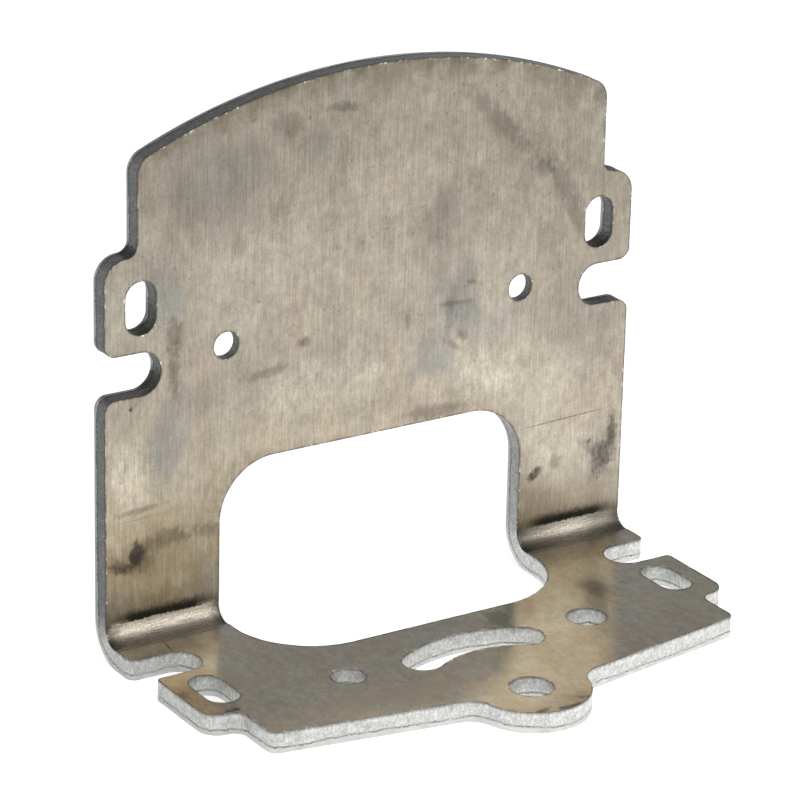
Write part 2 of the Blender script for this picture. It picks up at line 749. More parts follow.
def add_node(tree, kind, values=(), **settings):
    """Adds a node, sets its settings, and links or sets its inputs by name or place."""
    node = tree.nodes.new(kind)
    for name, value in settings.items():
        setattr(node, name, value)
    for name, value in dict(values).items():
        socket = node.inputs[name]
        if isinstance(value, bpy.types.NodeSocket):
            tree.links.new(value, socket)
        else:
            socket.default_value = value
    return node


def calc(tree, operation, *terms, clamp=False):
    """The result of one sum on numbers or sockets."""
    node = add_node(tree, "ShaderNodeMath", enumerate(terms), operation=operation, use_clamp=clamp)
    return node.outputs[0]


def vector_calc(tree, operation, *terms):
    """The result of one sum on vectors, as a vector."""
    node = add_node(tree, "ShaderNodeVectorMath", enumerate(terms), operation=operation)
    return node.outputs["Vector"]


def vector_length(tree, first, second=(0, 0, 0)):
    """The distance between two places."""
    node = add_node(tree, "ShaderNodeVectorMath", {0: first, 1: second}, operation="DISTANCE")
    return node.outputs["Value"]


def new_group(name, kind, inputs, outputs):
    """A node group with its sockets; returns it with its input node and output node."""
    tree = bpy.data.node_groups.new(name, kind)
    for direction, sockets in (("INPUT", inputs), ("OUTPUT", outputs)):
        for socket_name, socket_kind, default in sockets:
            socket = tree.interface.new_socket(socket_name, in_out=direction, socket_type=socket_kind)
            if default is not None:
                socket.default_value = default
    return tree, tree.nodes.new("NodeGroupInput"), tree.nodes.new("NodeGroupOutput")


def fold_tree():
    """Folds the flat blank a quarter turn and gives it its two materials."""
    inputs = (
        ("Blank", "NodeSocketGeometry", None),
        ("Sheet", "NodeSocketFloat", None),
        ("Bend radius", "NodeSocketFloat", None),
        ("Inside face", "NodeSocketFloat", None),
        ("Face material", "NodeSocketMaterial", None),
        ("Edge material", "NodeSocketMaterial", None),
    )
    outputs = (("Folded", "NodeSocketGeometry", None),)
    tree, given, result = new_group("Fold sheet", "GeometryNodeTree", inputs, outputs)
    sheet, radius = given.outputs["Sheet"], given.outputs["Bend radius"]
    place = add_node(tree, "GeometryNodeInputPosition").outputs[0]
    parts = add_node(tree, "ShaderNodeSeparateXYZ", {0: place}).outputs
    middle_radius = calc(tree, "MULTIPLY_ADD", sheet, 0.5, radius)
    allowance = calc(tree, "MULTIPLY", middle_radius, QUARTER_TURN)
    below = calc(tree, "MULTIPLY", parts[2], -1.0)
    turned = calc(tree, "DIVIDE", below, allowance, clamp=True)
    turn = calc(tree, "MULTIPLY", turned, QUARTER_TURN)
    from_axis = calc(tree, "ADD", radius, parts[1])
    above = calc(tree, "MAXIMUM", parts[2], 0.0)
    beyond = calc(tree, "MAXIMUM", calc(tree, "SUBTRACT", below, allowance), 0.0)
    axis_y = calc(tree, "SUBTRACT", given.outputs["Inside face"], radius)
    back = calc(tree, "MULTIPLY_ADD", from_axis, calc(tree, "COSINE", turn), axis_y)
    y = calc(tree, "SUBTRACT", back, beyond)
    axis_z = calc(tree, "ADD", sheet, radius)
    down = calc(tree, "MULTIPLY", from_axis, calc(tree, "SINE", turn))
    z = calc(tree, "ADD", calc(tree, "SUBTRACT", axis_z, down), above)
    folded = add_node(tree, "ShaderNodeCombineXYZ", {0: parts[0], 1: y, 2: z}).outputs[0]
    moved = add_node(
        tree, "GeometryNodeSetPosition", {"Geometry": given.outputs["Blank"], "Position": folded}
    )
    real = add_node(tree, "GeometryNodeRealizeInstances", {0: moved.outputs[0]})
    faced = add_node(
        tree,
        "GeometryNodeSetMaterial",
        {"Geometry": real.outputs[0], "Material": given.outputs["Face material"]},
    )
    cut = add_node(tree, "GeometryNodeInputNamedAttribute", {"Name": "cut"}, data_type="BOOLEAN")
    edged = add_node(
        tree,
        "GeometryNodeSetMaterial",
        {
            "Geometry": faced.outputs[0],
            "Selection": cut.outputs["Attribute"],
            "Material": given.outputs["Edge material"],
        },
    )
    tree.links.new(edged.outputs[0], result.inputs[0])
    return tree


# Edges that turn more than this many degrees are shaded sharp
SHARP_ANGLE = 38


def run_tree(piece, tree, values):
    """Runs a Geometry Nodes tree on a piece and keeps the mesh that it makes."""
    modifier = piece.modifiers.new(tree.name, "NODES")
    modifier.node_group = tree
    for item in tree.interface.items_tree:
        if item.name in values:
            modifier[item.identifier] = values[item.name]
    piece.update_tag()
    bpy.context.view_layer.update()
    seen = piece.evaluated_get(bpy.context.evaluated_depsgraph_get())
    made = bpy.data.meshes.new_from_object(seen)
    flat = piece.data
    piece.modifiers.remove(modifier)
    piece.data = made
    bpy.data.meshes.remove(flat)
    made.name = piece.name
    made.set_sharp_from_angle(angle=math.radians(SHARP_ANGLE))


# ---------------------------------------------------------------- materials


def mix_colours(tree, factor, below, above):
    """One colour laid over another."""
    node = add_node(tree, "ShaderNodeMix", data_type="RGBA")
    for socket, value in zip((node.inputs[0], node.inputs[6], node.inputs[7]), (factor, below, above)):
        if isinstance(value, bpy.types.NodeSocket):
            tree.links.new(value, socket)
        else:
            socket.default_value = value if socket == node.inputs[0] else (*value, 1)
    return node.outputs[2]


def remap(tree, value, low, high, to_low=0.0, to_high=1.0, smooth=False):
    """Spreads a value from one range to another, clamped, with soft ends if smooth."""
    node = add_node(
        tree,
        "ShaderNodeMapRange",
        {0: value, 1: low, 2: high, 3: to_low, 4: to_high},
        interpolation_type="SMOOTHSTEP" if smooth else "LINEAR",
    )
    return node.outputs[0]


def shades(tree, noises, *rows):
    """The product of several noises, each spread from its own range to another."""
    return product(tree, *(remap(tree, noises[name], *spread) for name, *spread in rows))


def band(tree, value, low, high, feather):
    """One between low and high, zero outside, with soft ends."""
    rise = remap(tree, value, low - feather, low + feather, smooth=True)
    fall = remap(tree, value, high - feather, high + feather, 1.0, 0.0, smooth=True)
    return calc(tree, "MULTIPLY", rise, fall)


def noise_group(name, detail, roughness):
    """Noise on the sheet, stretched by its own scale across and along."""
    inputs = (
        ("Place", "NodeSocketVector", None),
        ("Across", "NodeSocketFloat", 1.0),
        ("Along", "NodeSocketFloat", 1.0),
        ("Seed", "NodeSocketFloat", 0.0),
    )
    tree, given, result = new_group(
        name, "ShaderNodeTree", inputs, (("Value", "NodeSocketFloat", None),)
    )
    across, along = given.outputs["Across"], given.outputs["Along"]
    scale = add_node(tree, "ShaderNodeCombineXYZ", {0: across, 1: along}).outputs[0]
    seed = add_node(tree, "ShaderNodeCombineXYZ", {2: given.outputs["Seed"]}).outputs[0]
    stretched = vector_calc(tree, "MULTIPLY_ADD", given.outputs["Place"], scale, seed)
    texture = add_node(
        tree,
        "ShaderNodeTexNoise",
        {"Vector": stretched, "Scale": 1.0, "Detail": detail, "Roughness": roughness},
    )
    tree.links.new(texture.outputs[0], result.inputs[0])
    return tree


# Share of a mark's half size that keeps its full strength
MARK_CORE = 0.3


def mark_group():
    """A soft, ragged, oval mark at one place on the sheet."""
    inputs = (
        ("Place", "NodeSocketVector", None),
        ("Middle", "NodeSocketVector", None),
        ("Turn", "NodeSocketFloat", 0.0),
        ("Size", "NodeSocketVector", (2.0, 2.0, 1.0)),
        ("Rag", "NodeSocketFloat", 0.9),
        ("Rag noise", "NodeSocketFloat", 0.5),
        ("Strength", "NodeSocketFloat", 1.0),
    )
    tree, given, result = new_group(
        "Soft mark", "ShaderNodeTree", inputs, (("Value", "NodeSocketFloat", None),)
    )
    offset = vector_calc(tree, "SUBTRACT", given.outputs["Place"], given.outputs["Middle"])
    turned = add_node(
        tree,
        "ShaderNodeVectorRotate",
        {"Vector": offset, "Angle": given.outputs["Turn"]},
        rotation_type="Z_AXIS",
    ).outputs[0]
    scaled = vector_calc(tree, "DIVIDE", turned, given.outputs["Size"])
    shake = calc(tree, "SUBTRACT", given.outputs["Rag noise"], 0.5)
    shaken = calc(tree, "MULTIPLY_ADD", shake, given.outputs["Rag"], vector_length(tree, scaled))
    fade = remap(tree, shaken, MARK_CORE, 1.0, 1.0, 0.0, smooth=True)
    tree.links.new(calc(tree, "MULTIPLY", fade, given.outputs["Strength"]), result.inputs[0])
    return tree


def use_group(tree, group, values):
    """Places a shader group in a tree and returns its first output."""
    node = tree.nodes.new("ShaderNodeGroup")
    node.node_tree = group
    for name, value in values.items():
        socket = node.inputs[name]
        if isinstance(value, bpy.types.NodeSocket):
            tree.links.new(value, socket)
        else:
            socket.default_value = value
    return node.outputs[0]


def product(tree, *factors):
    """All factors multiplied."""
    result = factors[0]
    for factor in factors[1:]:
        result = calc(tree, "MULTIPLY", result, factor)
    return result


def scale_colour(tree, tone, factor):
    """A colour made lighter or darker by a factor."""
    node = add_node(tree, "ShaderNodeVectorMath", {0: tone, "Scale": factor}, operation="SCALE")
    return node.outputs[0]


def new_material(name):
    """A material with a lone Principled shader."""
    material = bpy.data.materials.new(name)
    material.use_nodes = True
    return material, material.node_tree, material.node_tree.nodes["Principled BSDF"]


# Marks on the upright: colour, X, height, half width, half length (all in millimetres), turn in
# degrees, strength.
UPRIGHT_MARKS = (
    ("tan", -37, 14, 13, 11, 0, 0.75),
    ("tan", 35, 10, 12, 5, 0, 0.5),
    ("dusk", -27, 71, 17, 13, 0, 0.8),
    ("dusk", 4, 84, 22, 5, 0, 0.4),
    ("dusk", 12, 52, 9, 14, 20, 0.4),
    ("dusk", 37, 41, 12, 12, 0, 0.6),
    ("dusk", -24, 40, 12, 6, -10, 0.5),
    ("pale", 20, 33, 8, 4.8, 12, 0.8),
    ("pale", 33, 30, 8, 5, 0, 0.3),
    ("pale", -42, 28.6, 4.6, 7, -16, 1.0),
    ("pale", 31, 17.6, 3.6, 5, 0, 0.7),
    ("pale", -8, 37, 15, 6, 0, 0.5),
    ("pale", -20, 58, 9, 9, 0, 0.25),
    ("cool", -35.5, 33, 4.4, 10, 12, 0.75),
    ("cool", -36, 56, 4.4, 7, -12, 0.8),
    ("cool", 14.5, 46, 6, 8.5, -10, 0.7),
    ("cool", 10, 38, 6, 6, 30, 0.7),
    ("cool", 21, 41.5, 9, 3.6, 0, 0.4),
    ("cool", -9.8, 74, 3.2, 3.6, 0, 0.6),
    ("cool", 42, 16, 4.6, 5, 0, 0.5),
    ("cool", -26, 72, 4, 6, 20, 0.35),
    ("smudge", 21, 73.6, 2.2, 13, -44, 0.38),
    ("smudge", 34.2, 59.4, 2.2, 11, -27, 0.4),
    ("smudge", 29.5, 65, 2.6, 2.0, 0, 0.4),
    ("smudge", 11, 60, 4.5, 7.5, 20, 0.3),
    ("smudge", 15.4, 40.4, 1.6, 1.1, 30, 0.6),
    ("smudge", 13.4, 39.4, 2.6, 0.7, 35, 0.35),
    ("smudge", 14.2, 45.8, 4.2, 0.6, 4, 0.4),
    ("smudge", 17, 48.6, 1.4, 0.6, 20, 0.4),
    ("cool", 16, 43, 4.4, 4, 0, 0.5),
    ("smudge", 13.2, 45.5, 1.6, 5.5, 8, 0.3),
    ("smudge", 5.5, 44.5, 0.8, 2.4, 0, 0.35),
    ("smudge", -16, 78, 3, 3, 0, 0.35),
    ("smudge", -6.5, 79.5, 4, 1.2, 10, 0.5),
    ("smudge", -24, 61, 1.6, 2.6, 0, 0.25),
    ("smudge", -34.5, 49.5, 2, 3.6, 0, 0.55),
    ("smudge", -34.6, 43.5, 1.5, 5.5, 0, 0.5),
    ("smudge", -19, 40.6, 6.5, 1.1, -4, 0.4),
    ("smudge", -12.6, 44.3, 1.4, 1.1, 0, 0.6),
    ("smudge", -41.7, 39.2, 0.5, 0.5, 0, 0.9),
    ("smudge", 10.5, 28.9, 8, 1.7, 3, 0.45),
    ("smudge", -19, 25.2, 5, 2.2, 38, 0.3),
    ("smudge", -40.8, 15.8, 1.9, 2.1, 0, 1.0),
    ("smudge", -41, 16.8, 1.2, 2.6, 10, 0.9),
    ("bend_dark", -40.8, 15.6, 1.7, 1.9, 10, 0.85),
    ("smudge", -41, 15.6, 5.0, 3.2, 16, 0.5),
    ("smudge", -43, 14.6, 3.8, 1.4, 22, 0.8),
    ("smudge", -36, 17.8, 6.6, 2.0, -6, 0.5),
    ("smudge", -28.6, 17.6, 3.6, 1.8, -4, 0.4),
    ("brown", -35, 8, 14, 3.6, 0, 0.35),
    ("smudge", 42.4, 15, 2.8, 4.0, 20, 0.75),
    ("smudge", 44, 18.8, 1.4, 5, 4, 0.75),
    ("smudge", 40.4, 17.4, 3.6, 2.2, 30, 0.35),
    ("smudge", 29.6, 14.8, 2.2, 1.3, -30, 0.9),
    ("smudge", 33.5, 16, 1.4, 1.6, 0, 0.35),
    ("smudge", 39.9, 18.4, 0.9, 0.5, -30, 0.6),
    ("smudge", -40.6, 23.2, 5.6, 0.7, -4, 0.4),
    ("smudge", -40, 21.8, 0.18, 6, 88, 0.25),
    ("smudge", 35, 23.1, 0.18, 10.5, 88, 0.65),
)

# Marks on the foot: the same, with the reach in place of the height.
FOOT_MARKS = (
    ("foot_warm", -40, 19, 8, 9, 0, 0.7),
    ("foot_warm", -18, 36, 14, 3.5, 8, 0.6),
    ("smudge", 28.2, 19, 3.2, 4.4, 8, 0.55),
    ("brown", -44, 24, 7.5, 9, 0, 0.7),
    ("brown", 0, 50, 9, 3, 0, 0.3),
    ("smudge", -3.4, 51, 2.4, 0.8, -16, 0.8),
    ("smudge", 1.4, 51.7, 3.2, 0.8, 0, 0.95),
    ("smudge", 5, 50.2, 2.4, 0.8, 30, 0.7),
    ("smudge", -38.6, 5.6, 0.22, 3.4, 8, 0.8),
    ("smudge", 9, 21, 2.4, 4.4, 20, 0.5),
    ("smudge", -41.4, 28.8, 2.1, 0.6, 0, 0.8),
    ("smudge", -45, 21, 1.6, 1.4, 0, 0.4),
    ("smudge", 24, 12, 0.7, 3.2, 30, 0.4),
    ("smudge", -24, 9, 3, 1.6, 10, 0.35),
)

# Marks on the cut edges: the dark, glossy lower ends of the slots, notches and corners.
EDGE_MARKS = (
    ("crack", -40, 51.0, 4, 2.4, 0, 1.0),
    ("crack", -37.8, 52.6, 1.2, 3, 0, 0.6),
    ("crack", 40, 51.0, 4, 2.4, 0, 1.0),
    ("crack", -37.8, 42.6, 2.4, 2.8, 0, 1.0),
    ("crack", -42, 41, 5, 1.0, 0, 0.5),
    ("crack", 41, 41, 5.6, 1.4, 0, 0.9),
    ("crack", -41.4, 62.6, 1.8, 1.8, 0, 1.0),
    ("crack", 43, 62.4, 4, 1.6, 0, 0.7),
    ("chip", 38, 56, 1.2, 3, 0, 0.5),
)

# Half sizes in millimetres below which a mark is small, or a hair line; and how ragged they are
SMALL_MARK = 3.0
HAIR_MARK = 0.3
HAIR_RAG = 0.6
MARK_RAG = 1.4


def add_marks(tree, tone, noises, marks, colours, along):
    """Lays soft marks over a colour. along() turns a height or reach into a place on the sheet."""
    group = bpy.data.node_groups["Soft mark"]
    mottle = remap(tree, noises["patch"], 0.36, 0.56, 0.55, 1.15)
    for name, x, distance, half_width, half_length, turn, strength in marks:
        half = min(half_width, half_length)
        values = {
            "Place": noises["place"],
            "Middle": (x, along(distance), 0),
            "Turn": math.radians(turn),
            "Size": (half_width, half_length, 1.0),
            "Rag": HAIR_RAG if half < HAIR_MARK else MARK_RAG,
            "Rag noise": noises["rag"] if half < SMALL_MARK else noises["haze_rag"],
            "Strength": calc(tree, "MULTIPLY", mottle, strength),
        }
        mark = use_group(tree, group, values)
        tone = mix_colours(tree, mark, tone, getattr(colours, name))
    return tone


# Noises on the sheet: name, waves to a millimetre across and along, seed.
SMOOTH_NOISES = (
    ("cloud", 0.05, 0.045, 3.0),
    ("haze", 0.11, 0.07, 71.0),
    ("haze_rag", 0.34, 0.2, 73.0),
    ("rag", 0.9, 0.6, 67.0),
)
GRAINY_NOISES = (
    ("blotch", 0.2, 0.14, 11.0),
    ("patch", 0.7, 0.45, 23.0),
    ("crumb", 1.7, 1.3, 29.0),
    ("streak", 2.8, 0.07, 31.0),
    ("hair", 5.0, 0.3, 37.0),
    ("speck", 3.2, 2.8, 41.0),
    ("rub", 0.35, 3.0, 53.0),
)

# How far along the outside face reads its grain, in millimetres, so that it has marks of its own
OUTSIDE_SHIFT = 400.0


def sheet_noises(tree):
    """Where a point lies on the sheet, and the noises that the finishes share."""
    sheet_place = add_node(tree, "ShaderNodeUVMap", uv_map="sheet").outputs[0]
    parts = add_node(tree, "ShaderNodeSeparateXYZ", {0: sheet_place}).outputs
    outside = add_node(tree, "ShaderNodeAttribute", attribute_name="outside").outputs["Fac"]
    place = vector_calc(tree, "MULTIPLY_ADD", outside, (OUTSIDE_SHIFT, 0, 0), sheet_place)
    smooth = noise_group("Clouds", 3.0, 0.55)
    grains = noise_group("Grains", 6.0, 0.68)

    noises = {
        "place": place,
        "sheet place": sheet_place,
        "inside": calc(tree, "SUBTRACT", 1.0, outside),
        "x": parts[0],
        "s": parts[1],
    }
    for group, rows in ((smooth, SMOOTH_NOISES), (grains, GRAINY_NOISES)):
        for name, across, along, seed in rows:
            values = {"Place": place, "Across": across, "Along": along, "Seed": seed}
            noises[name] = use_group(tree, group, values)
    return noises


def upright_colour(tree, size, colours, noises):
    """Brushed, mottled and handled sheet, with dirt under the crown's rim."""
    tone = mix_colours(tree, remap(tree, noises["haze"], 0.4, 0.6), colours.warm, colours.grey)
    tone = add_marks(
        tree, tone, noises, UPRIGHT_MARKS, colours, lambda height: up_to(size, height * MM) / MM
    )
    shade = shades(
        tree,
        noises,
        ("streak", 0.25, 0.75, 0.78, 1.22),
        ("hair", 0.25, 0.75, 0.82, 1.18),
        ("speck", 0.25, 0.75, 0.86, 1.14),
        ("crumb", 0.25, 0.75, 0.86, 1.14),
        ("patch", 0.3, 0.7, 0.83, 1.16),
        ("blotch", 0.35, 0.65, 1.09, 0.9),
        ("haze", 0.35, 0.65, 0.93, 1.07),
        ("cloud", 0.35, 0.65, 1.08, 0.92),
        ("s", 22.0, 66.0, 1.14, 0.93),
        ("s", 1.0, 14.0, 0.88, 1.0),
        ("x", -46.0, 20.0, 0.93, 1.03),
        ("x", 10.0, 46.0, 1.0, 0.93),
    )
    tone = scale_colour(tree, tone, shade)
    smears = shades(
        tree,
        noises,
        ("crumb", 0.54, 0.64),
        ("blotch", 0.42, 0.56),
        ("s", 10.0, 60.0, 0.4, 0.55),
    )
    tone = mix_colours(tree, smears, tone, colours.brown)
    pits = product(
        tree, remap(tree, noises["speck"], 0.61, 0.67), remap(tree, noises["blotch"], 0.4, 0.56), 0.6
    )
    tone = mix_colours(tree, pits, tone, colours.smudge)
    glints = product(
        tree, remap(tree, noises["speck"], 0.38, 0.33), remap(tree, noises["patch"], 0.5, 0.6), 0.6
    )
    tone = mix_colours(tree, glints, tone, colours.pale)
    crown_middle = (0, (up_to(size, size.crown_height) - size.crown_radius) / MM, 0)
    from_middle = vector_length(tree, noises["sheet place"], crown_middle)
    ragged = calc(tree, "MULTIPLY_ADD", noises["hair"], 3.0, from_middle)
    under_crown = remap(tree, ragged, size.crown_radius / MM - 2.2, size.crown_radius / MM + 1.6)
    stained = product(tree, under_crown, remap(tree, noises["blotch"], 0.4, 0.6, 0.15, 0.8))
    return mix_colours(tree, stained, tone, colours.brown)


def bend_colour(tree, size, colours, noises, tone):
    """Burnished bend with speckled rub marks, dirty at the legs' sides and above."""
    half_window, half_width = size.window_width / 2 / MM, size.shoulder_width / 2 / MM
    aside = calc(tree, "ABSOLUTE", noises["x"])
    from_side = calc(
        tree,
        "MINIMUM",
        calc(tree, "SUBTRACT", aside, half_window),
        calc(tree, "SUBTRACT", half_width, aside),
    )
    s = noises["s"]
    streaky = calc(tree, "MULTIPLY_ADD", noises["hair"], 3.0, s)
    near_bend = remap(tree, streaky, 5.2, 1.8)
    dirt = product(tree, near_bend, near_bend, remap(tree, noises["patch"], 0.35, 0.6, 0.5, 0.85))
    tone = mix_colours(tree, dirt, tone, colours.brown)
    rubbed = shades(
        tree,
        noises,
        ("rub", 0.3, 0.7, 0.5, 1.4),
        ("speck", 0.3, 0.7, 0.5, 1.4),
    )
    rubbed = product(tree, rubbed, remap(tree, s, -1.4, -4.2, 1.12, 0.78))
    bright = mix_colours(
        tree, remap(tree, noises["patch"], 0.4, 0.6), colours.bend_bright, colours.pale
    )
    burnished = scale_colour(tree, bright, rubbed)
    broad = calc(tree, "MULTIPLY_ADD", noises["rag"], 3.0, from_side)
    clear_from = remap(tree, noises["x"], -1.0, 1.0, 3.8, 11.0)
    burnished = mix_colours(
        tree, remap(tree, broad, 1.6, clear_from, 0.9, 0.0), burnished, colours.smudge
    )
    tone = mix_colours(tree, remap(tree, s, 0.2, -0.4), tone, burnished)
    wavy = calc(tree, "MULTIPLY_ADD", calc(tree, "SUBTRACT", noises["crumb"], 0.5), 1.6, s)
    above = remap(tree, wavy, -0.75, -0.4)
    below = remap(tree, wavy, 0.3, 1.9, 1.0, 0.0, smooth=True)
    inner = remap(tree, calc(tree, "MULTIPLY_ADD", noises["crumb"], 4.0, from_side), 3.4, 6.4, 0.2, 1.0)
    tool_mark = product(tree, above, below, inner, noises["inside"])
    return mix_colours(tree, tool_mark, tone, colours.bend_dark)


def foot_colour(tree, size, colours, noises):
    """The foot: smoother, with faint stains and handling marks."""
    tone = mix_colours(
        tree, remap(tree, noises["blotch"], 0.4, 0.62), colours.foot, colours.foot_warm
    )
    shade = shades(
        tree,
        noises,
        ("speck", 0.3, 0.7, 0.88, 1.12),
        ("crumb", 0.3, 0.7, 0.88, 1.12),
        ("patch", 0.35, 0.65, 0.87, 1.11),
        ("haze", 0.35, 0.65, 0.92, 1.07),
        ("x", -46.0, 46.0, 1.09, 0.92),
    )
    tone = scale_colour(tree, tone, shade)
    tone = add_marks(
        tree, tone, noises, FOOT_MARKS, colours, lambda reach: out_to(size, reach * MM) / MM
    )
    stains = product(tree, remap(tree, noises["crumb"], 0.58, 0.7), remap(tree, noises["blotch"], 0.5, 0.62))
    return mix_colours(tree, calc(tree, "MULTIPLY", stains, 0.5), tone, colours.brown)


def finish_steel(tree, shader, tone, rough, relief):
    """Bare metal with its colour, its roughness and its fine relief."""
    shader.inputs["Metallic"].default_value = 1.0
    bump = add_node(tree, "ShaderNodeBump", relief)
    for name, value in (("Base Color", tone), ("Roughness", rough), ("Normal", bump.outputs[0])):
        tree.links.new(value, shader.inputs[name])


def sheet_material(size, colours):
    """Rolled steel sheet: brushed, mottled and handled, with the press marks of the bend."""
    material, tree, shader = new_material("Rolled steel sheet")
    noises = sheet_noises(tree)
    mark_group()
    s, patch = noises["s"], noises["patch"]
    bend_end = -bend_length(size) / MM
    on_foot = remap(tree, s, bend_end - 0.2, bend_end + 0.6, 1.0, 0.0)
    tone = upright_colour(tree, size, colours, noises)
    tone = bend_colour(tree, size, colours, noises, tone)
    tone = mix_colours(tree, on_foot, tone, foot_colour(tree, size, colours, noises))
    wavy = calc(tree, "MULTIPLY_ADD", calc(tree, "SUBTRACT", noises["blotch"], 0.5), 1.2, s)
    foot_line = band(tree, wavy, bend_end - 0.6, bend_end - 0.3, 0.14)
    foot_line = product(tree, foot_line, remap(tree, patch, 0.4, 0.6, 0.15, 0.7), noises["inside"])
    tone = mix_colours(tree, foot_line, tone, colours.brown)

    rim = add_node(tree, "ShaderNodeAttribute", attribute_name="rim").outputs["Fac"]
    chips = product(
        tree,
        remap(tree, rim, 0.2, 0.5),
        remap(tree, noises["crumb"], 0.54, 0.6),
        remap(tree, patch, 0.48, 0.56),
    )
    dark_rim = product(tree, remap(tree, rim, 0.2, 0.95), remap(tree, patch, 0.65, 0.45, 0.2, 0.75))
    tone = mix_colours(tree, dark_rim, tone, colours.smudge)
    tone = mix_colours(tree, chips, tone, colours.chip)
    rough_upright = remap(tree, noises["streak"], 0.3, 0.7, 0.3, 0.42)
    rough_foot = remap(tree, noises["blotch"], 0.3, 0.7, 0.13, 0.22)
    rough_foot = calc(tree, "ADD", rough_foot, remap(tree, s, bend_end - 9.0, bend_end, 0.0, 0.18))
    rough_upright = calc(tree, "ADD", rough_upright, remap(tree, s, 0.5, -1.5, 0.0, 0.1))
    rough = calc(
        tree, "MULTIPLY_ADD", on_foot, calc(tree, "SUBTRACT", rough_foot, rough_upright), rough_upright
    )
    lines = calc(tree, "ADD", noises["streak"], noises["hair"])
    level = remap(tree, s, bend_end - 0.3, bend_end + 0.5, 0.1, 1.0)
    on_bend = product(tree, remap(tree, s, bend_end, bend_end + 1.0), remap(tree, s, 0.6, -0.6))
    dents = calc(tree, "MULTIPLY", calc(tree, "ADD", noises["speck"], noises["rub"]), on_bend)
    height = calc(tree, "MULTIPLY_ADD", dents, 1.6, calc(tree, "MULTIPLY", lines, level))
    finish_steel(tree, shader, tone, rough, {"Height": height, "Strength": 0.4, "Distance": 0.04 * MM})
    return material


def edge_material(size, colours):
    """Punched edges: sheared smooth near the outside, torn and grainy near the inside."""
    material, tree, shader = new_material("Punched steel edge")
    place = add_node(tree, "ShaderNodeUVMap", uv_map="edge").outputs[0]
    sheet_place = add_node(tree, "ShaderNodeUVMap", uv_map="sheet").outputs[0]
    x, s = add_node(tree, "ShaderNodeSeparateXYZ", {0: sheet_place}).outputs[:2]
    depth = add_node(tree, "ShaderNodeSeparateXYZ", {0: place}).outputs[1]
    past = add_node(tree, "ShaderNodeAttribute", attribute_name="past_crack").outputs["Fac"]
    grains = bpy.data.node_groups["Grains"]
    patch = use_group(tree, grains, {"Place": place, "Across": 0.45, "Along": 0.6, "Seed": 5.0})
    coarse = use_group(tree, grains, {"Place": place, "Across": 2.1, "Along": 1.1, "Seed": 9.0})
    fine = use_group(tree, grains, {"Place": place, "Across": 3.6, "Along": 3.6, "Seed": 13.0})
    torn = calc(tree, "MULTIPLY_ADD", fine, 0.5, calc(tree, "MULTIPLY", coarse, 0.5))
    half_window = size.window_width / 2 / MM
    window_side = product(
        tree, band(tree, x, half_window - 8.0, half_window + 0.5, 0.4), remap(tree, s, 32.0, 26.0)
    )
    on_upright = product(tree, remap(tree, s, -3.5, 1.0), remap(tree, window_side, 0.0, 1.0, 1.0, 0.5))
    grey = mix_colours(tree, on_upright, colours.broken, colours.broken_dark)
    grain_shade = product(
        tree, remap(tree, torn, 0.35, 0.65, 0.6, 1.4), remap(tree, patch, 0.35, 0.65, 0.84, 1.14)
    )
    rough_colour = scale_colour(tree, grey, grain_shade)
    near_rim = remap(tree, calc(tree, "MULTIPLY_ADD", coarse, 0.5, depth), 0.2, 0.7, 0.7, 0.0)
    rough_colour = mix_colours(tree, near_rim, rough_colour, colours.crack)
    flecks = product(tree, remap(tree, fine, 0.6, 0.66), remap(tree, coarse, 0.5, 0.58), 0.8)
    rough_colour = mix_colours(tree, flecks, rough_colour, colours.chip)
    ragged = calc(tree, "MULTIPLY_ADD", calc(tree, "SUBTRACT", coarse, 0.5), 1.1, past)
    sheared = remap(tree, ragged, 0.02, 0.12)
    smooth_colour = mix_colours(tree, on_upright, colours.sheared, colours.sheared_dark)
    smooth_colour = scale_colour(tree, smooth_colour, remap(tree, patch, 0.35, 0.65, 0.85, 1.1))
    tone = mix_colours(tree, sheared, rough_colour, smooth_colour)
    crack = product(
        tree, band(tree, ragged, -0.14, 0.05, 0.08), remap(tree, patch, 0.42, 0.56, 0.1, 0.7)
    )
    tone = mix_colours(tree, crack, tone, colours.crack)
    shared = {"place": sheet_place, "patch": patch, "rag": coarse, "haze_rag": coarse}
    tone = add_marks(
        tree, tone, shared, EDGE_MARKS, colours, lambda height: up_to(size, height * MM) / MM
    )
    rough = remap(tree, sheared, 0.0, 1.0, 0.5, 0.34)
    height = calc(tree, "MULTIPLY", torn, remap(tree, sheared, 0.0, 1.0, 1.0, 0.12))
    finish_steel(tree, shader, tone, rough, {"Height": height, "Strength": 0.8, "Distance": 0.16 * MM})
    return material


# ---------------------------------------------------------------- stage


FLOOR_TONE = 0.6
# Shares of the background that the floor glows with: seen directly, and mirrored near and far
DIRECT_GLOW = 0.72
NEAR_GLOW = 0.85
FAR_GLOW = 0.3
# Distances from the bracket, in metres, between which the mirrored glow fades
GLOW_FADE = (0.06, 0.3)
# Level direction from the bracket to the front lamp's side of the room
LAMP_SIDE = (0.55, -0.84, 0.0)
# Distances along that direction, in metres, over which the mirrored glow rises, and where from
LAMP_SIDE_FADE = (-0.04, 0.01)
FAR_SIDE_SHARE = 0.5
# Strength of the room where it only lights, and the heights between which it darkens overhead
ROOM_LIGHT = 0.6
OVERHEAD_FADE = (0.02, 0.5)


def seen_directly(tree):
    """One for the rays that show a thing directly, in a mirror or through glass."""
    path = add_node(tree, "ShaderNodeLightPath")
    seen = calc(tree, "MAXIMUM", path.outputs["Is Camera Ray"], path.outputs["Is Glossy Ray"])
    return calc(tree, "MAXIMUM", seen, path.outputs["Is Transmission Ray"])


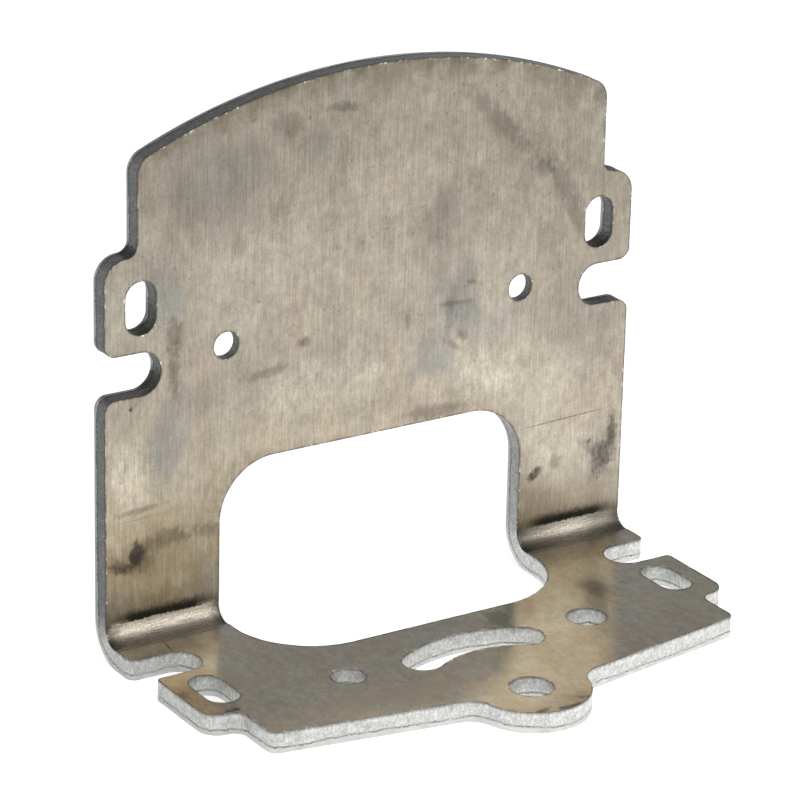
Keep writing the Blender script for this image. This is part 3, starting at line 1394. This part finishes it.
def floor_material(stage):
    """Pale floor that shows as white but keeps the shadow of what stands on it."""
    material, tree, shader = new_material("Pale floor")
    shader.inputs["Base Color"].default_value = (FLOOR_TONE, FLOOR_TONE, FLOOR_TONE, 1)
    shader.inputs["Roughness"].default_value = 1.0
    shader.inputs["Specular IOR Level"].default_value = 0.0
    path = add_node(tree, "ShaderNodeLightPath")
    place = add_node(tree, "ShaderNodeTexCoord").outputs["Object"]
    distance = vector_length(tree, place)
    mirrored_glow = remap(
        tree, distance, *GLOW_FADE, stage.background * NEAR_GLOW, stage.background * FAR_GLOW
    )
    towards_lamp = add_node(
        tree, "ShaderNodeVectorMath", {0: place, 1: LAMP_SIDE}, operation="DOT_PRODUCT"
    ).outputs["Value"]
    lamp_side = remap(tree, towards_lamp, *LAMP_SIDE_FADE, FAR_SIDE_SHARE, 1.0)
    mirrored_glow = calc(tree, "MULTIPLY", mirrored_glow, lamp_side)
    glossy = calc(tree, "MULTIPLY", path.outputs["Is Glossy Ray"], mirrored_glow)
    direct = calc(tree, "MAXIMUM", path.outputs["Is Camera Ray"], path.outputs["Is Transmission Ray"])
    glow = calc(tree, "MULTIPLY_ADD", direct, stage.background * DIRECT_GLOW, glossy)
    shader.inputs["Emission Color"].default_value = (1, 1, 1, 1)
    tree.links.new(glow, shader.inputs["Emission Strength"])
    return material


def set_world(stage):
    """A pale room: white to the horizon and above it, greyer overhead."""
    world = bpy.data.worlds.new("Pale room")
    world.use_nodes = True
    bpy.context.scene.world = world
    tree = world.node_tree
    direction = add_node(tree, "ShaderNodeTexCoord").outputs["Generated"]
    up = add_node(tree, "ShaderNodeSeparateXYZ", {0: direction}).outputs[2]
    overhead = remap(tree, up, *OVERHEAD_FADE, stage.background, stage.ceiling)
    seen = seen_directly(tree)
    difference = calc(tree, "SUBTRACT", overhead, ROOM_LIGHT)
    strength = calc(tree, "MULTIPLY_ADD", seen, difference, ROOM_LIGHT)
    tree.links.new(strength, tree.nodes["Background"].inputs["Strength"])
    tree.nodes["Background"].inputs["Color"].default_value = (1, 1, 1, 1)


# Lamps: direction from the bracket, then distance, width and height in metres
FRONT_LAMP = ((0.5, -0.8, 0.66), 0.9, 0.9, 0.42)
REAR_LAMP = ((-0.7, 0.7, 0.6), 0.9, 0.6, 0.5)


def soft_lamp(name, middle, place, radiance):
    """A large soft lamp that faces the bracket."""
    direction, distance, width, height = place
    data = bpy.data.lights.new(name, "AREA")
    data.shape = "RECTANGLE"
    data.size = width
    data.size_y = height
    data.energy = radiance * math.pi * width * height
    lamp = bpy.data.objects.new(name, data)
    bpy.context.collection.objects.link(lamp)
    towards = Vector(direction).normalized()
    turn = towards.to_track_quat("Z", "Y").to_matrix().to_4x4()
    lamp.matrix_world = Matrix.Translation(middle + towards * distance) @ turn
    lamp.visible_camera = False
    return lamp


def set_camera(stage, inside_face):
    """The camera, by its azimuth, elevation and roll round the point that it looks at."""
    az, el = stage.azimuth, stage.elevation
    back = Vector((-math.sin(az) * math.cos(el), -math.cos(az) * math.cos(el), math.sin(el)))
    right = Vector((math.cos(az), -math.sin(az), 0))
    up = back.cross(right)
    turned_right = math.cos(stage.roll) * right + math.sin(stage.roll) * up
    turned_up = math.cos(stage.roll) * up - math.sin(stage.roll) * right
    target = Vector((stage.target_x, inside_face - stage.target_inset, stage.target_height))
    data = bpy.data.cameras.new("Camera")
    data.sensor_width = 36
    data.lens = stage.lens
    data.clip_start = 10 * MM
    data.clip_end = 50
    camera = bpy.data.objects.new("Camera", data)
    bpy.context.collection.objects.link(camera)
    axes = Matrix((turned_right, turned_up, back)).transposed().to_4x4()
    camera.matrix_world = Matrix.Translation(target + back * stage.distance) @ axes
    bpy.context.scene.camera = camera


# ---------------------------------------------------------------- operators and panel


class BRACKET_OT_stage(bpy.types.Operator):
    """Set up the floor, the lamps, the room and the camera"""

    bl_idname = "bracket.stage"
    bl_label = "Set the stage"

    def execute(self, context):
        stage = context.scene.bracket_stage
        size = context.scene.bracket_blank
        bpy.ops.mesh.primitive_plane_add(size=stage.floor_size, location=(0, 0, LOW_CORNER.z))
        floor = context.active_object
        floor.name = "floor"
        floor.data.transform(floor.matrix_world)
        floor.matrix_world = Matrix.Identity(4)
        floor.data.materials.append(floor_material(stage))
        set_world(stage)
        middle = (LOW_CORNER + HIGH_CORNER) / 2
        soft_lamp("front lamp", middle, FRONT_LAMP, stage.key_radiance)
        soft_lamp("rear lamp", middle, REAR_LAMP, stage.fill_radiance)
        set_camera(stage, HIGH_CORNER.y - size.sheet)
        context.scene.view_settings.view_transform = "Standard"
        return {"FINISHED"}


class BRACKET_OT_sheet(bpy.types.Operator):
    """Cut the blank, fold it and finish its faces and edges"""

    bl_idname = "bracket.sheet"
    bl_label = "Make the bracket"

    def execute(self, context):
        size = context.scene.bracket_blank
        edge = context.scene.bracket_edge
        colours = context.scene.bracket_colours
        piece = bpy.data.objects.new("bracket_sheet", blank_mesh(draw_blank(size, edge), "blank"))
        context.collection.objects.link(piece)
        run_tree(
            piece,
            fold_tree(),
            {
                "Sheet": size.sheet,
                "Bend radius": size.bend_radius,
                "Inside face": HIGH_CORNER.y - size.sheet,
                "Face material": sheet_material(size, colours),
                "Edge material": edge_material(size, colours),
            },
        )
        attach(piece, "root")
        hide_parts(NODE)
        return {"FINISHED"}


class BRACKET_PT_panel(bpy.types.Panel):
    """Sidebar panel with every size and colour"""

    bl_idname = "BRACKET_PT_panel"
    bl_label = "Stamped bracket"
    bl_space_type = "VIEW_3D"
    bl_region_type = "UI"
    bl_category = "Bracket"

    def draw(self, context):
        layout = self.layout
        for name in PROPERTIES:
            group = getattr(context.scene, name)
            box = layout.box()
            for key in group.bl_rna.properties.keys():
                if key not in ("rna_type", "name"):
                    box.prop(group, key)
        layout.operator(BRACKET_OT_sheet.bl_idname)
        layout.operator(BRACKET_OT_stage.bl_idname)


PROPERTIES = {
    "bracket_blank": BlankSizes,
    "bracket_edge": CutEdgeSizes,
    "bracket_colours": SteelColours,
    "bracket_stage": StageSizes,
}
CLASSES = (*PROPERTIES.values(), BRACKET_OT_stage, BRACKET_OT_sheet, BRACKET_PT_panel)


def register():
    for cls in CLASSES:
        bpy.utils.register_class(cls)
    for name, group in PROPERTIES.items():
        setattr(bpy.types.Scene, name, bpy.props.PointerProperty(type=group))


def unregister():
    for name in PROPERTIES:
        delattr(bpy.types.Scene, name)
    for cls in reversed(CLASSES):
        bpy.utils.unregister_class(cls)


def main():
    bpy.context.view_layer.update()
    register()
    bpy.ops.bracket.sheet()
    bpy.ops.bracket.stage()


if __name__ == "__main__":
    main()
